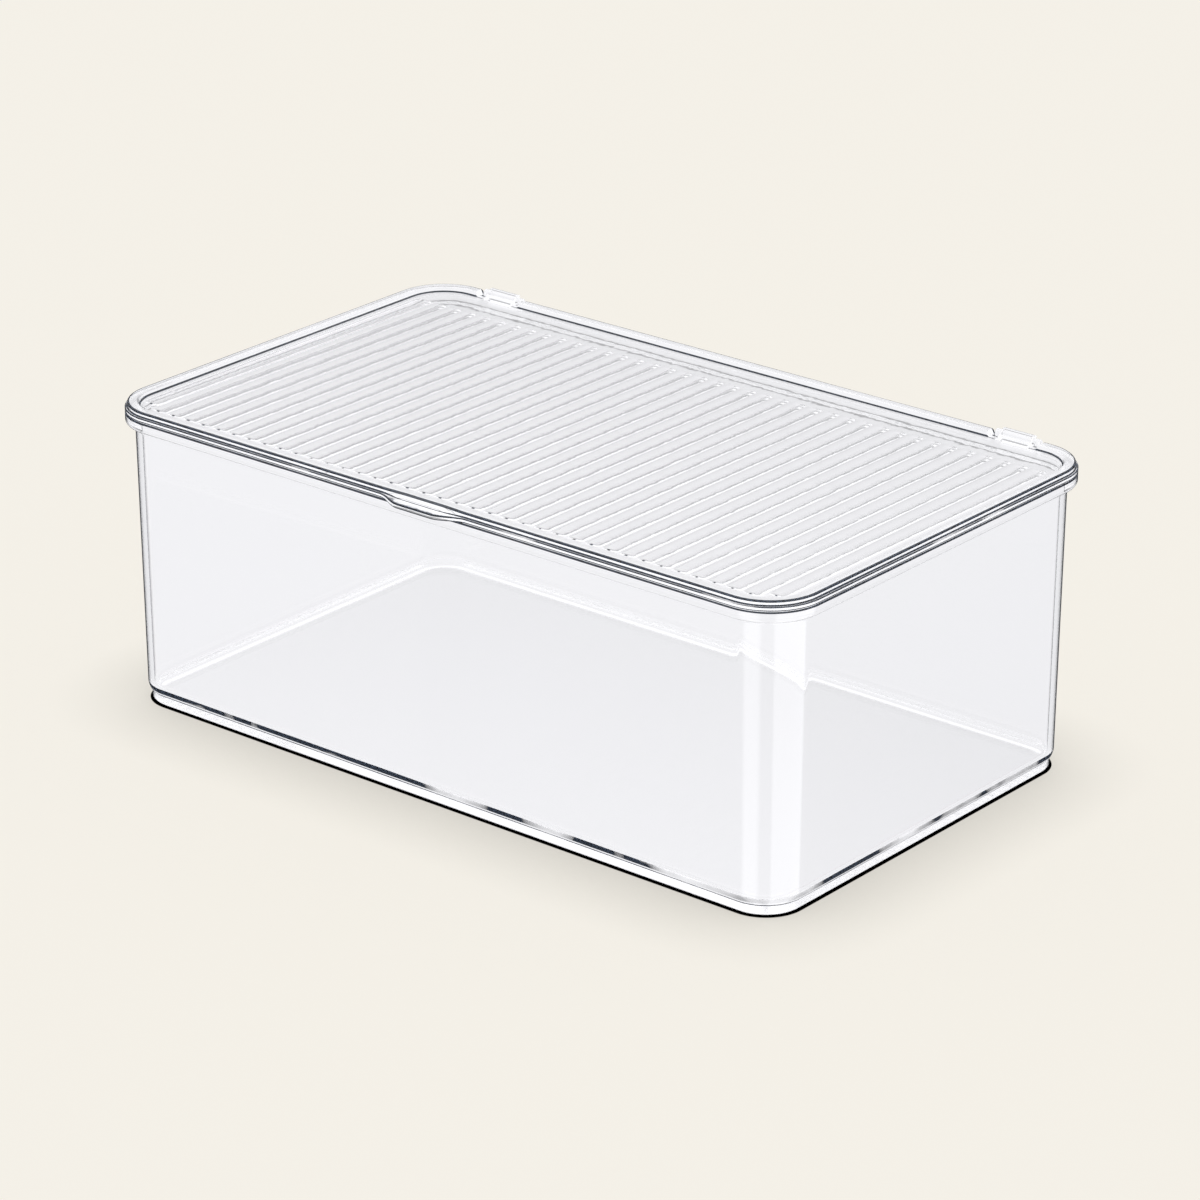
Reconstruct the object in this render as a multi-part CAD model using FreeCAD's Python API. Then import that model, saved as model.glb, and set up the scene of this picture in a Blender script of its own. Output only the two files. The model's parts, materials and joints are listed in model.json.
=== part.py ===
import FreeCAD, Part
import math
import os

# Clear moulded storage box with a fluted lid that turns on two clip-on hooks.
# Millimetres, +Z up, +Y towards the hinge, origin at the middle of the underside.

# Plan outline shared by the lip of the tub and the flange of the lid
OUTLINE_LENGTH = 330.0
OUTLINE_WIDTH = 196.0
OUTLINE_CORNER = 22.0
EDGE_BEVEL = 0.5

# Tub: wall, floor, lip and stacking foot
TUB_HEIGHT = 120.0
WALL = 2.4
FLOOR = 3.2
FLOOR_FILLET = 6.0
WALL_DRAFT = 1.2
LIP_EDGE = 3.0
LIP_ROUND = 1.6
LIP_FLAT = 0.2
LIP_COVE = 2.0
FOOT_HEIGHT = 4.4
FOOT_ROUND = 1.4
TUCK_HEIGHT = 4.0
TUCK_DEPTH = 0.9
TUCK_ROUND = 8.0
STACK_CLEARANCE = 0.8

# Lid: plate, raised rim and flutes
LID_GAP = 0.3
LID_PLATE = 1.7
RIM_RISE = 2.0
RIM_LEDGE = 1.0
RIM_WIDTH = 4.2
RIM_TAPER = 0.5
RIM_BEVEL = 0.6
FLUTE_PITCH = 8.0
FLUTE_WIDTH = 7.8
FLUTE_RISE = 0.4
FLUTE_TAPER = 1.6
FLUTE_SINK = 0.3
FLUTE_FRONT_MARGIN = 9.5
FLUTE_BACK_MARGIN = 21.6
FLUTE_SIDE_GAP = 1.0

# Finger tab at the middle of the lid's front edge
TAB_LENGTH = 37.0
TAB_SLANT = 8.0
TAB_REACH = 4.8
TAB_EDGE = 2.0
TAB_ROUND = 9.0
TAB_LEAD = 12.0

# Hinges: a hook on the lid clips over a bar that stands on the tub's lip
HINGE_INSET = 37.0
HOOK_LENGTH = 14.0
HOOK_WALL = 1.22
HOOK_FLOAT = 0.4
ARM_REACH = 3.0
ARM_RISE = 0.5
BAR_RADIUS = 1.2
BAR_WEB = 0.8
BAR_CLEARANCE = 0.08
AXIS_INSET = 1.0
CHEEK_LENGTH = 2.8
CHEEK_SHOULDER = 0.3
CHEEK_HEEL = 2.5
SIDE_CLEARANCE = 0.4
NOTCH_CLEARANCE = 0.4
NOTCH_SLOPE = 1.5
OPENING_ANGLE = 105.0
STOP_CLEARANCE = 0.1

# Places that follow from the sizes above. A section's u is measured outwards
# from the line through the corner centres, so u = OUTLINE_CORNER is the outline.
HALF_X = OUTLINE_LENGTH / 2 - OUTLINE_CORNER
HALF_Y = OUTLINE_WIDTH / 2 - OUTLINE_CORNER
FRONT_Y = -OUTLINE_WIDTH / 2
BACK_Y = OUTLINE_WIDTH / 2
LID_BOTTOM = TUB_HEIGHT + LID_GAP
PLATE_TOP = LID_BOTTOM + LID_PLATE
RIM_TOP = PLATE_TOP + RIM_RISE
RIM_OUTER = OUTLINE_CORNER - RIM_LEDGE
RIM_INNER = RIM_OUTER - RIM_WIDTH
RECESS_EDGE = RIM_INNER - RIM_TAPER
FOOT_EDGE = RECESS_EDGE - STACK_CLEARANCE
WALL_TOP = OUTLINE_CORNER - LIP_ROUND - LIP_FLAT - LIP_COVE
WALL_FOOT = WALL_TOP - WALL_DRAFT
LIP_BOTTOM = TUB_HEIGHT - LIP_EDGE - LIP_ROUND
HOOK_BORE = BAR_RADIUS + BAR_CLEARANCE
HOOK_RADIUS = HOOK_BORE + HOOK_WALL
CHEEK_RADIUS = BAR_RADIUS + CHEEK_SHOULDER
FLUTE_ROOM = 2 * (HALF_X + RECESS_EDGE - FLUTE_SIDE_GAP)
FLUTE_COUNT = 1 + int((FLUTE_ROOM - FLUTE_WIDTH) / FLUTE_PITCH)
HINGE_X = OUTLINE_LENGTH / 2 - HINGE_INSET
AXIS_Y = BACK_Y - AXIS_INSET
AXIS_Z = TUB_HEIGHT + HOOK_FLOAT + HOOK_RADIUS
NOTCH_FRONT = AXIS_Y - CHEEK_RADIUS - NOTCH_CLEARANCE
NOTCH_HALF = HOOK_LENGTH / 2 + CHEEK_LENGTH + 2 * SIDE_CLEARANCE
UP = FreeCAD.Vector(0, 0, 1)
SIDEWAYS = FreeCAD.Vector(1, 0, 0)
ALONG = FreeCAD.Vector(0, 1, 0)


def rounded_face(corners, place):
    """Face bounded by straight runs, each corner (a, b, radius) rounded by a tangent arc.

    place turns a plan point (a, b) into a point in space.
    """
    runs = []
    arcs = []
    count = len(corners)
    for i in range(count):
        a, b, radius = corners[i]
        here = FreeCAD.Vector(a, b, 0)
        before = FreeCAD.Vector(corners[i - 1][0], corners[i - 1][1], 0) - here
        after = FreeCAD.Vector(corners[(i + 1) % count][0], corners[(i + 1) % count][1], 0) - here
        before.normalize()
        after.normalize()
        half = before.getAngle(after) / 2
        if radius == 0:
            runs.append((here, here))
            continue
        reach = radius / math.tan(half)
        middle_ray = before + after
        middle_ray.normalize()
        start = here + before * reach
        end = here + after * reach
        middle = here + middle_ray * (radius / math.sin(half) - radius)
        runs.append((start, end))
        arcs.append((start, middle, end))
    edges = [Part.Arc(*[place(p.x, p.y) for p in arc]).toShape() for arc in arcs]
    for i in range(count):
        start = place(runs[i - 1][1].x, runs[i - 1][1].y)
        end = place(runs[i][0].x, runs[i][0].y)
        edges.append(Part.LineSegment(start, end).toShape())
    return Part.Face(Part.Wire(Part.__sortEdges__(edges)))


def upright(a, b):
    """Point (a, b) in the X-Z plane: a outwards, b up."""
    return FreeCAD.Vector(a, 0, b)


def flat(a, b):
    """Point (a, b) in the X-Y plane."""
    return FreeCAD.Vector(a, b, 0)


def across(a, b):
    """Point (a, b) in the Y-Z plane: a along Y, b up."""
    return FreeCAD.Vector(0, a, b)


def carry_round(section, core_bottom, core_top):
    """Solid whose edge has this section: it is drawn along the four sides and turned round
    the four corner centres, and a block fills the middle between two heights."""
    starts = [(HALF_X, -HALF_Y), (HALF_X, HALF_Y), (-HALF_X, HALF_Y), (-HALF_X, -HALF_Y)]
    core = Part.makeBox(2 * HALF_X, 2 * HALF_Y, core_top - core_bottom)
    core.translate(FreeCAD.Vector(-HALF_X, -HALF_Y, core_bottom))
    solids = []
    for side in range(4):
        start = FreeCAD.Vector(*starts[side], 0)
        end = FreeCAD.Vector(*starts[(side + 1) % 4], 0)
        profile = section.copy()
        profile.rotate(FreeCAD.Vector(), UP, 90 * side)
        profile.translate(start)
        solids.append(profile.extrude(end - start))
        profile.translate(end - start)
        solids.append(profile.revolve(end, UP, 90))
    return core.multiFuse(solids).removeSplitter()


def rod(radius, length, x):
    """Round rod along X on the hinge axis, from x."""
    return Part.makeCylinder(radius, length, FreeCAD.Vector(x, AXIS_Y, AXIS_Z), SIDEWAYS)


def slab(corners, length, x):
    """Prism along X from x, with a section of (y, z, radius) corners."""
    solid = rounded_face(corners, across).extrude(SIDEWAYS * length)
    solid.translate(SIDEWAYS * x)
    return solid


def tub_shell():
    """Open tub: drafted wall with a coved lip, filleted floor and a set-in stacking foot."""
    tuck = WALL_FOOT - TUCK_DEPTH
    section = rounded_face(
        [
            (0, 0, 0),
            (FOOT_EDGE, 0, FOOT_ROUND),
            (FOOT_EDGE, FOOT_HEIGHT, 0),
            (tuck, FOOT_HEIGHT, 0),
            (WALL_FOOT, FOOT_HEIGHT + TUCK_HEIGHT, TUCK_ROUND),
            (WALL_TOP, LIP_BOTTOM, LIP_COVE),
            (OUTLINE_CORNER, LIP_BOTTOM, LIP_ROUND),
            (OUTLINE_CORNER, TUB_HEIGHT - EDGE_BEVEL, 0),
            (OUTLINE_CORNER - EDGE_BEVEL, TUB_HEIGHT, 0),
            (WALL_TOP - WALL + EDGE_BEVEL, TUB_HEIGHT, 0),
            (WALL_TOP - WALL, TUB_HEIGHT - EDGE_BEVEL, 0),
            (WALL_FOOT - WALL, FLOOR, FLOOR_FILLET),
            (0, FLOOR, 0),
        ],
        upright,
    )
    return carry_round(section, 0, FLOOR)


def hinge_bar(x):
    """Bar on a thin web between two cheeks, standing on the back of the lip."""
    seat = TUB_HEIGHT - LIP_EDGE / 2
    half = HOOK_LENGTH / 2 + SIDE_CLEARANCE
    bar = rod(BAR_RADIUS, 2 * half + 2 * CHEEK_LENGTH, x - half - CHEEK_LENGTH)
    web = Part.makeBox(2 * half, BAR_WEB, AXIS_Z - seat)
    web.translate(FreeCAD.Vector(x - half, AXIS_Y - BAR_WEB / 2, seat))
    heel = TUB_HEIGHT - CHEEK_HEEL
    front = AXIS_Y - CHEEK_RADIUS
    back = AXIS_Y + CHEEK_RADIUS
    outline = [
        (front, heel, 0),
        (BACK_Y - LIP_ROUND / 2, heel, 0),
        (back, TUB_HEIGHT, 0),
        (back, AXIS_Z, 0),
        (front, AXIS_Z, 0),
    ]
    solids = [web]
    for start in (x - half - CHEEK_LENGTH, x + half):
        solids.append(slab(outline, CHEEK_LENGTH, start))
        solids.append(rod(CHEEK_RADIUS, CHEEK_LENGTH, start))
    return bar.multiFuse(solids)


def make_tub():
    """The tub with its two hinge bars."""
    bars = [hinge_bar(x) for x in (-HINGE_X, HINGE_X)]
    return tub_shell().multiFuse(bars).removeSplitter()


def lid_plate():
    """Flat plate with a raised stacking rim set in from its edge."""
    section = rounded_face(
        [
            (0, LID_BOTTOM, 0),
            (OUTLINE_CORNER - EDGE_BEVEL, LID_BOTTOM, 0),
            (OUTLINE_CORNER, LID_BOTTOM + EDGE_BEVEL, 0),
            (OUTLINE_CORNER, PLATE_TOP - EDGE_BEVEL, 0),
            (OUTLINE_CORNER - EDGE_BEVEL, PLATE_TOP, 0),
            (RIM_OUTER, PLATE_TOP, 0),
            (RIM_OUTER, RIM_TOP - RIM_BEVEL, 0),
            (RIM_OUTER - RIM_BEVEL, RIM_TOP, 0),
            (RIM_INNER + RIM_BEVEL, RIM_TOP, 0),
            (RIM_INNER, RIM_TOP - RIM_BEVEL, 0),
            (RECESS_EDGE, PLATE_TOP, 0),
            (0, PLATE_TOP, 0),
        ],
        upright,
    )
    return carry_round(section, LID_BOTTOM, PLATE_TOP)


def flute(x):
    """One convex flute along Y: a slice of a rod whose ends taper into the plate."""
    half = FLUTE_WIDTH / 2
    radius = (half ** 2 + FLUTE_RISE ** 2) / (2 * FLUTE_RISE)
    front = FRONT_Y + FLUTE_FRONT_MARGIN
    back = BACK_Y - FLUTE_BACK_MARGIN
    into_corner = abs(x) + half - HALF_X
    if into_corner > 0:
        room = math.sqrt((RECESS_EDGE - FLUTE_SIDE_GAP) ** 2 - into_corner ** 2)
        front = max(front, -HALF_Y - room)
        back = min(back, HALF_Y + room)
    drop = FLUTE_RISE + FLUTE_SINK
    run = FLUTE_TAPER * drop / FLUTE_RISE
    axis_z = PLATE_TOP + FLUTE_RISE - radius
    first = FreeCAD.Vector(x, front + FLUTE_TAPER, axis_z)
    last = FreeCAD.Vector(x, back - FLUTE_TAPER, axis_z)
    body = Part.makeCylinder(radius, last.y - first.y, first, ALONG)
    tapers = [Part.makeCone(radius, radius - drop, run, first, -ALONG)]
    tapers.append(Part.makeCone(radius, radius - drop, run, last, ALONG))
    keep = Part.makeBox(FLUTE_WIDTH, last.y - first.y + 2 * run, drop)
    keep.translate(FreeCAD.Vector(x - half, first.y - run, PLATE_TOP - FLUTE_SINK))
    return body.multiFuse(tapers).common(keep)


def finger_tab():
    """Tab that swells from the front edge, with a ramp from the rim down to its edge."""
    half = TAB_LENGTH / 2
    tip = FRONT_Y - TAB_REACH
    inside = FRONT_Y + RIM_LEDGE + RIM_WIDTH / 2
    outline = rounded_face(
        [
            (-half - TAB_LEAD, FRONT_Y, 0),
            (-half, FRONT_Y, TAB_ROUND),
            (-half + TAB_SLANT, tip, TAB_ROUND),
            (half - TAB_SLANT, tip, TAB_ROUND),
            (half, FRONT_Y, TAB_ROUND),
            (half + TAB_LEAD, FRONT_Y, 0),
            (half + TAB_LEAD, inside, 0),
            (-half - TAB_LEAD, inside, 0),
        ],
        flat,
    )
    shelf = outline.extrude(UP * LID_PLATE)
    shelf.translate(UP * LID_BOTTOM)
    ramp = outline.extrude(UP * (LID_PLATE + RIM_RISE))
    ramp.translate(UP * LID_BOTTOM)
    wedge = slab(
        [
            (inside, LID_BOTTOM, 0),
            (tip, LID_BOTTOM, 0),
            (tip, LID_BOTTOM + TAB_EDGE, 0),
            (inside, RIM_TOP, 0),
        ],
        TAB_LENGTH - TAB_SLANT,
        -half + TAB_SLANT / 2,
    )
    return shelf.fuse(ramp.common(wedge))


def rim_notch(x):
    """Room in the lid round one hinge: the rim is cut down to the plate, with sloping ends,
    and the flange is cut away round the bar and its cheeks."""
    low = NOTCH_HALF
    high = NOTCH_HALF + NOTCH_SLOPE
    rim_face = rounded_face(
        [
            (x - low, PLATE_TOP, 0),
            (x + low, PLATE_TOP, 0),
            (x + high, RIM_TOP, 0),
            (x - high, RIM_TOP, 0),
        ],
        upright,
    )
    depth = OUTLINE_CORNER - RECESS_EDGE
    rim_cut = rim_face.extrude(ALONG * depth)
    rim_cut.translate(ALONG * (BACK_Y - depth))
    flange_cut = Part.makeBox(2 * low, BACK_Y - NOTCH_FRONT, LID_PLATE)
    flange_cut.translate(FreeCAD.Vector(x - low, NOTCH_FRONT, LID_BOTTOM))
    return rim_cut.fuse(flange_cut)


def hook(x):
    """Open clip that wraps the bar. Its mouth is wide enough for the bar's web to pass while
    the lid turns, so the web also stops the lid at the end of its swing."""
    start = x - HOOK_LENGTH / 2
    ring = rod(HOOK_RADIUS, HOOK_LENGTH, start).cut(rod(HOOK_BORE, HOOK_LENGTH, start))
    web_half = math.degrees(math.asin((BAR_WEB / 2 + STOP_CLEARANCE) / HOOK_BORE))
    mouth_sweep = OPENING_ANGLE + 2 * web_half
    mouth_start = 270.0 - web_half
    reach = HOOK_RADIUS / math.cos(math.radians(mouth_sweep / 6)) + HOOK_WALL
    fan = [(AXIS_Y, AXIS_Z, 0)]
    for step in range(4):
        angle = math.radians(mouth_start + mouth_sweep * step / 3)
        fan.append((AXIS_Y + reach * math.cos(angle), AXIS_Z + reach * math.sin(angle), 0))
    mouth = slab(fan, HOOK_LENGTH, start)
    root = AXIS_Y - HOOK_BORE - HOOK_WALL / 4
    arm = slab(
        [
            (AXIS_Y - HOOK_RADIUS - ARM_REACH, LID_BOTTOM, 0),
            (root, LID_BOTTOM, 0),
            (root, AXIS_Z + ARM_RISE, 0),
            (AXIS_Y - HOOK_RADIUS, AXIS_Z + ARM_RISE, 0),
            (AXIS_Y - HOOK_RADIUS - ARM_REACH, PLATE_TOP, 0),
        ],
        HOOK_LENGTH,
        start,
    )
    return ring.cut(mouth).fuse(arm)


def make_lid():
    """The lid: plate and rim, flutes, finger tab and two hooks."""
    middle = (FLUTE_COUNT - 1) / 2
    flutes = [flute((i - middle) * FLUTE_PITCH) for i in range(FLUTE_COUNT)]
    places = (-HINGE_X, HINGE_X)
    body = lid_plate().fuse(finger_tab()).cut(Part.makeCompound([rim_notch(x) for x in places]))
    return body.multiFuse(flutes + [hook(x) for x in places]).removeSplitter()


def main():
    """Write one file for each piece."""
    os.makedirs("parts", exist_ok=True)
    for name, make in (("tub", make_tub), ("lid", make_lid)):
        shape = make()
        print(name, "solids", len(shape.Solids), "valid", shape.isValid(), "volume", round(shape.Volume, 1))
        shape.exportStep(f"parts/{name}.step")


main()
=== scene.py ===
import json
import logging
import math
from collections.abc import Mapping, Sequence
from dataclasses import dataclass

import bmesh
import bpy
import numpy as np
from mathutils import Matrix, Vector
from mathutils.kdtree import KDTree


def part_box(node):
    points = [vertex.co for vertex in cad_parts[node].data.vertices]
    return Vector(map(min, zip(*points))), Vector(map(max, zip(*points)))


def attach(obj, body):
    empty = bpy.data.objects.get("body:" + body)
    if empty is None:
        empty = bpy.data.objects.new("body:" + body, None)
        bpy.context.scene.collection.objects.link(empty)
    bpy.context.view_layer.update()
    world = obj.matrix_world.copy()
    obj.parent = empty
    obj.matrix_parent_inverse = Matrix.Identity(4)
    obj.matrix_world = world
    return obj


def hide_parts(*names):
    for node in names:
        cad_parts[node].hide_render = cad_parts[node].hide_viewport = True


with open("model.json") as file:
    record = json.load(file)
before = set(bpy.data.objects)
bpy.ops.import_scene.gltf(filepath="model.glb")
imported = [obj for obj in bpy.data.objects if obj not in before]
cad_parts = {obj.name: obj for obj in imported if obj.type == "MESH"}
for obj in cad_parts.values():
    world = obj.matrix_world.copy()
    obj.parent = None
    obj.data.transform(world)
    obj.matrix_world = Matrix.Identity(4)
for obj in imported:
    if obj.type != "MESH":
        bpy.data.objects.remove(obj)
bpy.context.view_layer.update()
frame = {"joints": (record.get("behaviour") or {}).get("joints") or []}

LOG = logging.getLogger("storage_box")

# Sizes are in millimetres, as on the real box. Blender's unit is the metre.
MM = 0.001

# How finely round edges are sampled, and how far their smooth shading may reach on to the flats
ARC_STEPS = 12
CORNER_STEPS = 28
SUPPORT = 0.35
SUPPORT_SHARE = 0.3
SIDE_SUPPORT = 2.0
SHARP_ANGLE = math.radians(12.0)
MERGE_DISTANCE = 0.0005

# A station whose outward direction has at least this much of its side's direction lies on that side
ON_SIDE = 0.999

# Attribute that says how dark a painted shade line an edge gets, from 0 to 1
PAINTED_SHADE_LINE = "painted_shade_line"

TUB_BOX = [np.array(corner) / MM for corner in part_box("tub")]
LID_BOX = [np.array(corner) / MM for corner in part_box("lid")]
HINGE = np.array(frame["joints"][0]["pos_m"]) / MM


@dataclass(frozen=True)
class Corner:
    """A corner of a section: its place, the radius that rounds it and how dark a painted shade line it
    gets.
    """

    a: float
    b: float
    radius: float = 0.0
    line: float = 0.0


@dataclass(frozen=True)
class Surface:
    """One shell in millimetres: points (n, 3), quads (m, 4), flat caps and the painted shade at each
    point.
    """

    points: np.ndarray
    quads: np.ndarray
    caps: tuple[np.ndarray, ...] = ()
    lines: np.ndarray | None = None


@dataclass(frozen=True)
class Loop:
    """A closed path: centre points (m, 2) and the outward direction (m, 2) at each of them."""

    centres: np.ndarray
    outward: np.ndarray


def linear(hex_colour: str) -> tuple[float, float, float, float]:
    """Turn an sRGB hex colour into linear RGBA by undoing the two-part sRGB curve.

    Args:
        hex_colour: a colour such as "#F5F1E8".

    Returns:
        Linear red, green, blue and an alpha of 1.
    """
    raw = np.array([int(hex_colour[i:i + 2], 16) for i in (1, 3, 5)]) / 255.0
    light = np.where(raw <= 0.04045, raw / 12.92, ((raw + 0.055) / 1.055) ** 2.4)
    return (*light.tolist(), 1.0)


def add_node(
    tree: bpy.types.NodeTree,
    kind: str,
    settings: Mapping[str, object] | None = None,
    values: Mapping[str | int, object] | None = None,
    links: Mapping[str | int, bpy.types.NodeSocket] | None = None,
) -> bpy.types.Node:
    """Add one node with its settings, socket values and incoming links.

    Args:
        tree: the node tree that gets the node.
        kind: Blender's type name of the node.
        settings: properties of the node.
        values: input sockets, by name or number, and their values.
        links: input sockets, by name or number, and the output socket that feeds each.

    Returns:
        The new node.
    """
    node = tree.nodes.new(kind)
    for name, value in (settings or {}).items():
        setattr(node, name, value)
    for socket, value in (values or {}).items():
        node.inputs[socket].default_value = value
    for socket, source in (links or {}).items():
        tree.links.new(source, node.inputs[socket])
    return node


def blank_material(name: str) -> bpy.types.Material:
    """Make a material with an empty node tree.

    Args:
        name: the material's name.

    Returns:
        The material.
    """
    material = bpy.data.materials.new(name)
    material.use_nodes = True
    material.node_tree.nodes.clear()
    return material


def smooth_step(value: np.ndarray, low: float, high: float) -> np.ndarray:
    """Rise from 0 at low to 1 at high along 3 t^2 - 2 t^3."""
    t = np.clip((value - low) / (high - low), 0.0, 1.0)
    return t * t * (3.0 - 2.0 * t)


def rounded_chain(corners: Sequence[Corner]) -> np.ndarray:
    """Sample straight runs joined by tangent arcs.

    A corner that turns the chain by an angle w and has radius r is replaced by an arc that starts
    r tan(w / 2) before it and is sampled at equal steps of w. A support point stands on the run
    just before and just after each corner, and the first and last corners stay as they are.

    Args:
        corners: the corners of the chain in order.

    Returns:
        Points (n, 2). Chains with equally many corners have equally many points.
    """
    at = np.array([(c.a, c.b) for c in corners])
    radius = np.array([c.radius for c in corners])[1:-1]
    run = np.diff(at, axis=0)
    length = np.linalg.norm(run, axis=1)
    heading = run / length[:, None]
    before, after = heading[:-1], heading[1:]
    turn = np.arctan2(
        before[:, 0] * after[:, 1] - before[:, 1] * after[:, 0],
        np.sum(before * after, axis=1),
    )
    cut = radius * np.tan(np.abs(turn) / 2)
    spare = length - np.append(0.0, cut) - np.append(cut, 0.0)
    margin = np.minimum(SUPPORT, SUPPORT_SHARE * spare)
    side = np.sign(turn)[:, None] * np.stack([-before[:, 1], before[:, 0]], axis=1)
    start = at[1:-1] - before * cut[:, None]
    angle = turn[:, None] * np.linspace(0.0, 1.0, ARC_STEPS + 1)
    along = radius[:, None] * np.sin(np.abs(angle))
    inwards = radius[:, None] * (1.0 - np.cos(angle))
    arc = start[:, None] + along[..., None] * before[:, None] + inwards[..., None] * side[:, None]
    lead = arc[:, :1] - (before * margin[:-1, None])[:, None]
    trail = arc[:, -1:] + (after * margin[1:, None])[:, None]
    middle = np.concatenate([lead, arc, trail], axis=1).reshape(-1, 2)
    return np.concatenate([at[:1], middle, at[-1:]])


def chain_lines(corners: Sequence[Corner]) -> np.ndarray:
    """How dark the painted shade line at each point of a rounded chain is: a corner's value on its arc,
    else 0.

    Args:
        corners: the corners of the chain in order.

    Returns:
        Values (n,) for the points that rounded_chain gives.
    """
    inner = np.array([c.line for c in corners])[1:-1, None]
    on_arc = np.pad(np.ones(ARC_STEPS + 1), 1)
    return np.pad((inner * on_arc).reshape(-1), 1)


def rounded_loop(
    half_x: float,
    half_y: float,
    front: Sequence[float] = (),
    back: Sequence[float] = (),
) -> Loop:
    """Path round a rectangle with round corners, anticlockwise from the front right corner.

    At a corner the centre stays and the outward direction turns a quarter in equal steps. Along a
    side the direction stays, and the centre has stations near both ends and at the places asked for.

    Args:
        half_x: half the distance between the corner centres along X.
        half_y: half the distance between the corner centres along Y.
        front: extra stations along the front side, as X.
        back: extra stations along the back side, as X.

    Returns:
        The path.
    """
    support_x = [-half_x + SIDE_SUPPORT, half_x - SIDE_SUPPORT]
    support_y = [-half_y + SIDE_SUPPORT, half_y - SIDE_SUPPORT]
    along_back = sorted([*support_x, *back], reverse=True)
    along_front = sorted([*support_x, *front])
    corner = [(half_x, -half_y), (half_x, half_y), (-half_x, half_y), (-half_x, -half_y)]
    sides = [
        [(half_x, y) for y in support_y],
        [(x, half_y) for x in along_back],
        [(-half_x, y) for y in reversed(support_y)],
        [(x, -half_y) for x in along_front],
    ]
    centres = []
    angles = []
    for quarter in range(4):
        turn = np.linspace(quarter - 1.0, float(quarter), CORNER_STEPS + 1) * math.pi / 2
        centres.append(np.repeat([corner[quarter]], CORNER_STEPS + 1, axis=0))
        angles.append(turn)
        centres.append(np.array(sides[quarter]).reshape(-1, 2))
        angles.append(np.full(len(sides[quarter]), turn[-1]))
    angle = np.concatenate(angles)
    return Loop(np.concatenate(centres), np.stack([np.cos(angle), np.sin(angle)], axis=1))


def carry(loop: Loop, chain: np.ndarray, lines: np.ndarray) -> Surface:
    """Carry a chain round a loop: a point (u, z) goes to centre + u * outward, at height z.

    Args:
        loop: the path with m stations.
        chain: points (k, 2), from the underside outwards and over to the top, or (m, k, 2) where
            the chain changes along the loop.
        lines: how dark the painted shade line at each point of the chain is, (k,).

    Returns:
        The closed shell, with flat caps inside the first and the last points of the chain.
    """
    stations = len(loop.centres)
    count = chain.shape[-2]
    all_chains = np.broadcast_to(chain, (stations, count, 2))
    plan = loop.centres[:, None] + all_chains[..., :1] * loop.outward[:, None]
    points = np.concatenate([plan, all_chains[..., 1:]], axis=-1)
    index = np.arange(stations * count).reshape(stations, count)
    onward = np.roll(index, -1, axis=0)
    quads = np.stack([index[:, :-1], onward[:, :-1], onward[:, 1:], index[:, 1:]], axis=-1)
    caps = (index[::-1, 0], index[:, -1])
    return Surface(points.reshape(-1, 3), quads.reshape(-1, 4), caps, np.tile(lines, stations))


def prism(outline: np.ndarray, x_from: float, x_to: float, bevel: float) -> Surface:
    """Carry a closed (y, z) outline along X, with its ends drawn in by a bevel.

    Args:
        outline: points (k, 2), anticlockwise as seen from +X.
        x_from: where the prism starts.
        x_to: where it ends.
        bevel: width of the bevel round both ends.

    Returns:
        The closed shell.
    """
    heading = np.roll(outline, -1, axis=0) - outline
    heading /= np.linalg.norm(heading, axis=1)[:, None]
    outward = np.stack([heading[:, 1], -heading[:, 0]], axis=1)
    outward += np.roll(outward, 1, axis=0)
    outward /= np.linalg.norm(outward, axis=1)[:, None]
    small = outline - outward * bevel
    sections = np.stack([small, outline, outline, small])
    places = np.array([x_from, x_from + bevel, x_to - bevel, x_to])
    grid = sections.shape[:2]
    xs = np.broadcast_to(places[:, None, None], (*grid, 1))
    points = np.concatenate([xs, sections], axis=-1).reshape(-1, 3)
    index = np.arange(len(points)).reshape(grid)
    onward = np.roll(index, -1, axis=1)
    quads = np.stack([index[:-1], onward[:-1], onward[1:], index[1:]], axis=-1).reshape(-1, 4)
    return Surface(points, quads, (index[0, ::-1], index[-1]))


def dome(
    xs: np.ndarray,
    ys: np.ndarray,
    base: float,
    height: np.ndarray,
    fade: np.ndarray,
    lines: np.ndarray,
) -> Surface:
    """Raise a grid over a flat base: the point at (x, y) stands height(x) * fade(y) above it.

    Args:
        xs: places across, rising.
        ys: places along, rising.
        base: level of the flat underside, which the grid meets all round its edge.
        height: height at each place across.
        fade: share of that height at each place along.
        lines: how dark the painted shade at each point of the grid is, (places along, places across).

    Returns:
        The closed shell.
    """
    wide, long = len(xs), len(ys)
    plan = np.stack(np.meshgrid(xs, ys), axis=-1)
    points = np.concatenate([plan, base + (fade[:, None] * height)[..., None]], axis=-1)
    index = np.arange(wide * long).reshape(long, wide)
    quads = np.stack([index[:-1, :-1], index[:-1, 1:], index[1:, 1:], index[1:, :-1]], axis=-1)
    rim = np.concatenate([index[0], index[1:, -1], index[-1, -2::-1], index[-2:0:-1, 0]])
    return Surface(points.reshape(-1, 3), quads.reshape(-1, 4), (rim[::-1],), lines.reshape(-1))


def arc(centre: Sequence[float], radius: float, start: float, end: float, steps: int) -> np.ndarray:
    """Points of a circular arc from start to end, in degrees from the first axis to the second."""
    angle = np.radians(np.linspace(start, end, steps + 1))
    return np.array(centre) + radius * np.stack([np.cos(angle), np.sin(angle)], axis=1)


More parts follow.
